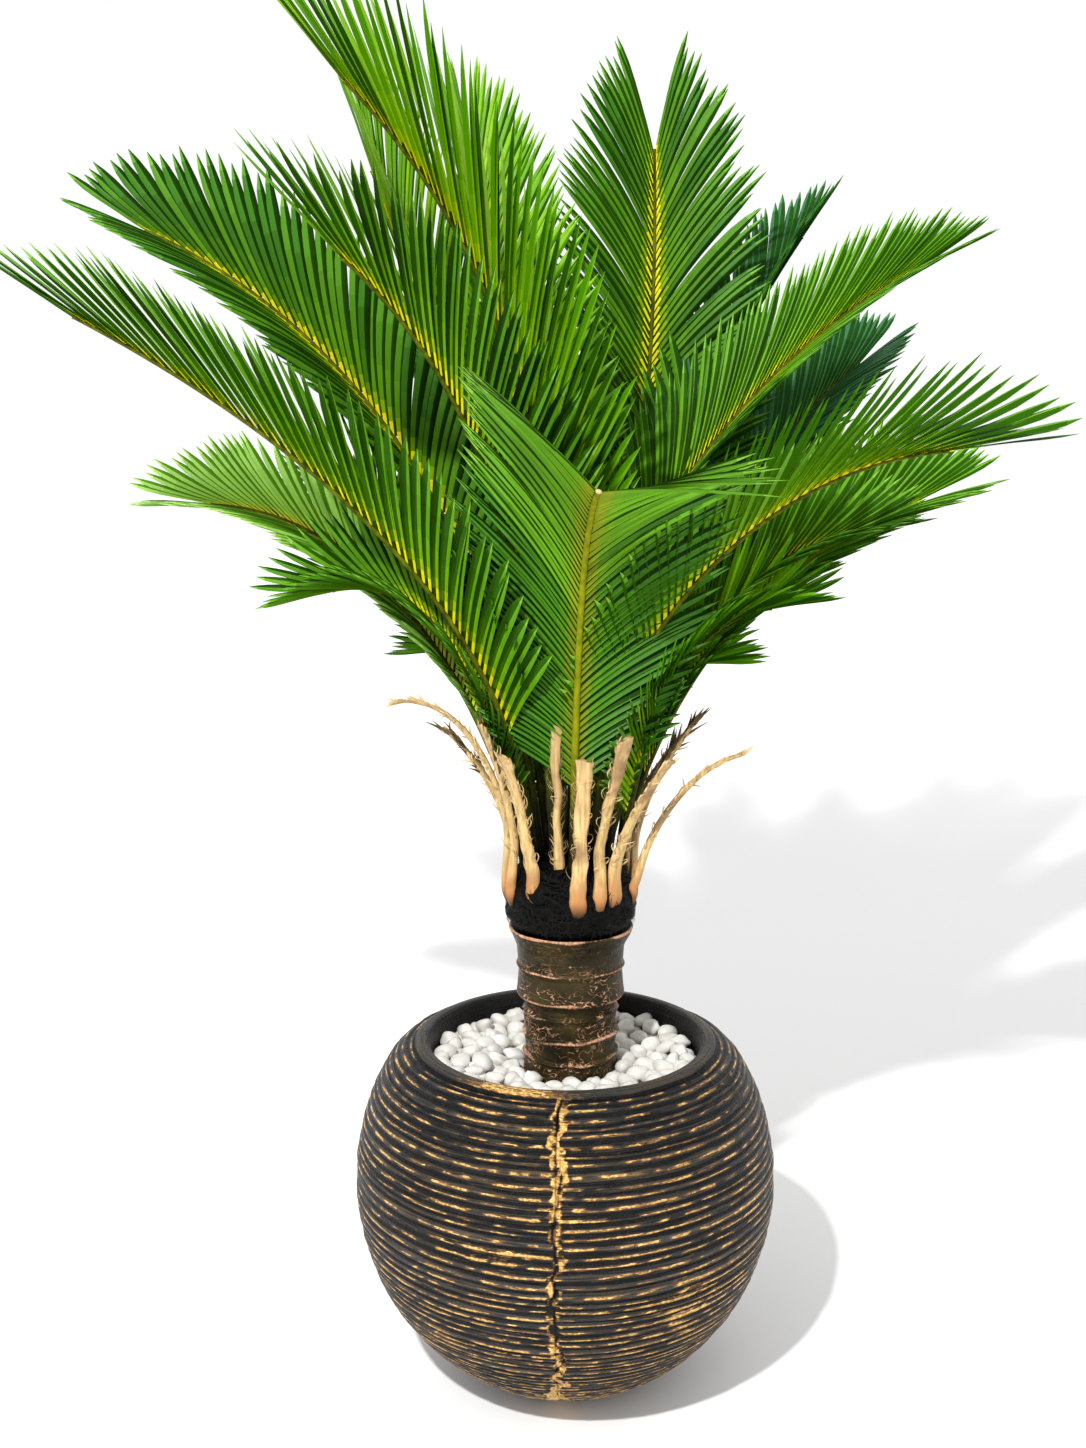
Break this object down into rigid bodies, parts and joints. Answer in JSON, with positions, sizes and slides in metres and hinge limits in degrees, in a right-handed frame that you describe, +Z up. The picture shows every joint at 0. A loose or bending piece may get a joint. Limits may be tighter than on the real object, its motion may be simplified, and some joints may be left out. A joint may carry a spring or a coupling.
{
  "type": "potted sago palm",
  "caption": "Sago palm in a round ribbed charcoal pot filled to white pebbles: short ringed trunk, dead leaf stubs and arching feather fronds.",
  "frame": {"origin": "centre of the flat underside of the pot, on the floor", "axes": "+Z up along the trunk, -Y towards the side that the picture shows, +X to the picture's right"},
  "size_m": [0.8921, 0.7983, 1.3201],
  "materials": {
    "pot_charcoal": "satin",
    "soil_brown": "matte",
    "pebble_white": "matte",
    "trunk_bark": "satin",
    "collar_fibre": "matte",
    "stub_tan": "matte",
    "frond_green": "satin"
  },
  "bodies": {
    "root": {"frond_back_centre": "frond_green", "frond_back_left": "frond_green", "frond_back_left_tall": "frond_green", "frond_back_low_centre": "frond_green", "frond_back_low_left": "frond_green", "frond_back_low_right": "frond_green", "frond_back_right": "frond_green", "frond_back_right_low": "frond_green", "frond_back_right_tall": "frond_green", "frond_back_top": "frond_green", "frond_front_centre": "frond_green", "frond_front_left": "frond_green", "frond_left_long": "frond_green", "frond_left_low": "frond_green", "frond_left_lower": "frond_green", "frond_left_lowest": "frond_green", "frond_left_upper": "frond_green", "frond_right_long": "frond_green", "frond_right_low": "frond_green", "frond_right_lower": "frond_green", "frond_right_mid": "frond_green", "frond_right_upper": "frond_green", "frond_top_back": "frond_green", "frond_top_left": "frond_green", "pebble_bed": "pebble_white", "pot": "pot_charcoal", "soil": "soil_brown", "stub_back": "stub_tan", "stub_back_far_left": "stub_tan", "stub_back_far_right": "stub_tan", "stub_back_left": "stub_tan", "stub_back_right": "stub_tan", "stub_centre": "stub_tan", "stub_front": "stub_tan", "stub_front_left": "stub_tan", "stub_front_right": "stub_tan", "stub_left_mid": "stub_tan", "stub_left_thin": "stub_tan", "stub_right_back": "stub_tan", "stub_right_long": "stub_tan", "stub_right_wide": "stub_tan", "trunk_collar": "collar_fibre", "trunk_shaft": "trunk_bark", "trunk_sleeve": "trunk_bark"}
  },
  "joints": []
}
